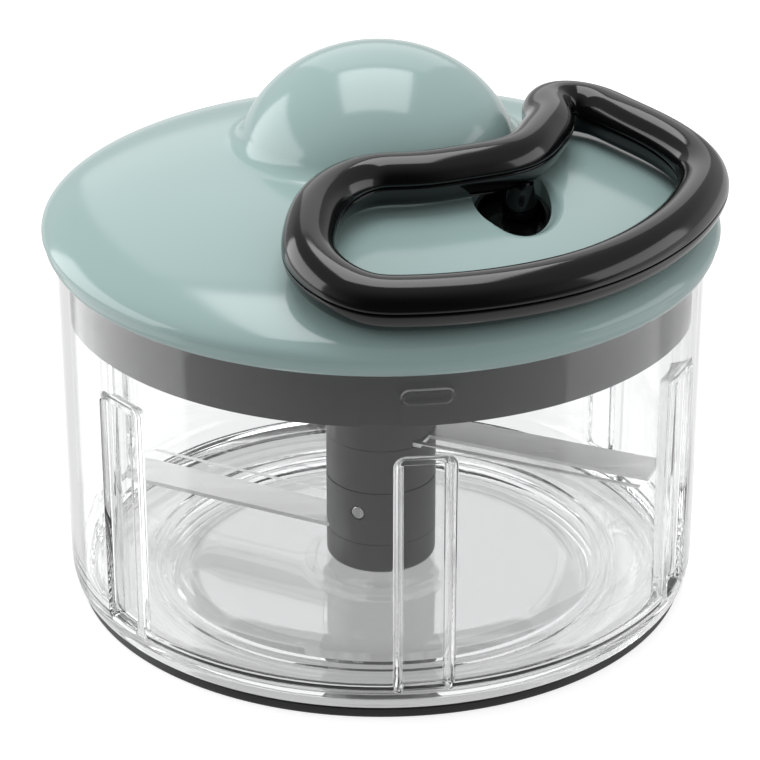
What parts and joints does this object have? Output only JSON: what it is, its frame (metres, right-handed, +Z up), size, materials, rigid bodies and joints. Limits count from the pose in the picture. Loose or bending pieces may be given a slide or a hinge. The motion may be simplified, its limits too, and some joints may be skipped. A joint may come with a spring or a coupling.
{
  "type": "food chopper",
  "caption": "Pull-cord food chopper: clear round bowl, domed lid with a corded loop handle on a spring reel, and geared blades on a lift-out column.",
  "frame": {"origin": "middle of the underside of the base ring, on the surface the chopper stands on", "axes": "+Z up along the axis of the bowl, the blade column and the drive shaft; +Y towards the domed reel housing; +X to the right, towards the handle's far end, for someone facing the front"},
  "size_m": [0.1561, 0.1556, 0.1227],
  "materials": {
    "mint_plastic": "glossy",
    "gray_plastic": "satin",
    "clear_plastic": "clear and glossy",
    "black_plastic": "glossy",
    "black_rubber": "matt",
    "seal_silicone": "matt",
    "white_plastic": "matt",
    "blade_steel": "fine brushed",
    "steel": "bright",
    "bronze": "satin",
    "cord_nylon": "braided"
  },
  "bodies": {
    "bowl": {"bowl": "clear_plastic", "base_ring": "black_rubber"},
    "blades": {"column_foot": "gray_plastic", "lower_blade": "blade_steel", "column_lower_sleeve": "gray_plastic", "column_middle_sleeve": "gray_plastic", "upper_blade": "blade_steel", "column_top_socket": "gray_plastic", "column_core": "gray_plastic", "cross_pin": "steel"},
    "lid": {"lid_shell": "mint_plastic", "lid_insert": "gray_plastic", "lid_seal": "seal_silicone", "cord_guide": "black_plastic", "reel_axle": "steel", "reel_washer": "white_plastic", "spring_arbor": "steel", "gear_plate": "gray_plastic", "shaft_bush_lower": "bronze", "shaft_bush_upper": "bronze", "shaft_seal": "black_rubber", "lid_screw_1": "steel", "lid_screw_2": "steel", "lid_screw_3": "steel", "lid_screw_4": "steel", "plate_screw_1": "steel", "plate_screw_2": "steel", "plate_screw_3": "steel", "cord_lead": "cord_nylon"},
    "reel": {"cord_reel": "white_plastic", "reel_gear": "white_plastic", "cord_winding": "cord_nylon", "power_spring": "steel", "spring_cover": "white_plastic"},
    "drive": {"drive_shaft": "steel", "drive_pinion": "white_plastic", "shaft_circlip": "steel"},
    "handle": {"handle_upper": "black_plastic", "handle_lower": "black_plastic", "cord_stem": "black_plastic", "handle_cord": "cord_nylon", "cord_knot": "cord_nylon"}
  },
  "joints": [
    {"name": "lid_lift", "type": "slide", "parent": "bowl", "child": "lid", "axis": [0, 0, 1], "range_m": [0, 0.12]},
    {"name": "reel_spin", "type": "hinge", "parent": "lid", "child": "reel", "pos_m": [-0.00081, 0.02199, 0.0905], "axis": [0, 0, -1], "range_deg": [0, 1490], "stiffness_Nm_per_rad": 0.0004, "springref_deg": -859.44},
    {"name": "handle_pull", "type": "slide", "parent": "lid", "child": "handle", "axis": [0, 0, 1], "range_m": [0, 0.449]},
    {"name": "drive_spin", "type": "hinge", "parent": "lid", "child": "drive", "pos_m": [0, 0, 0.0785], "axis": [0, 0, -1], "range_deg": [-2610, 0]},
    {"name": "blade_spin", "type": "hinge", "parent": "bowl", "child": "blades", "pos_m": [0, 0, 0.0385], "axis": [0, 0, -1], "range_deg": [-2610, 0]}
  ],
  "couplings": [
    {"joint": "handle_pull", "follows": "reel_spin", "m_per_rad": 0.01725},
    {"joint": "drive_spin", "follows": "reel_spin", "ratio": -1.75},
    {"joint": "blade_spin", "follows": "reel_spin", "ratio": -1.75}
  ]
}
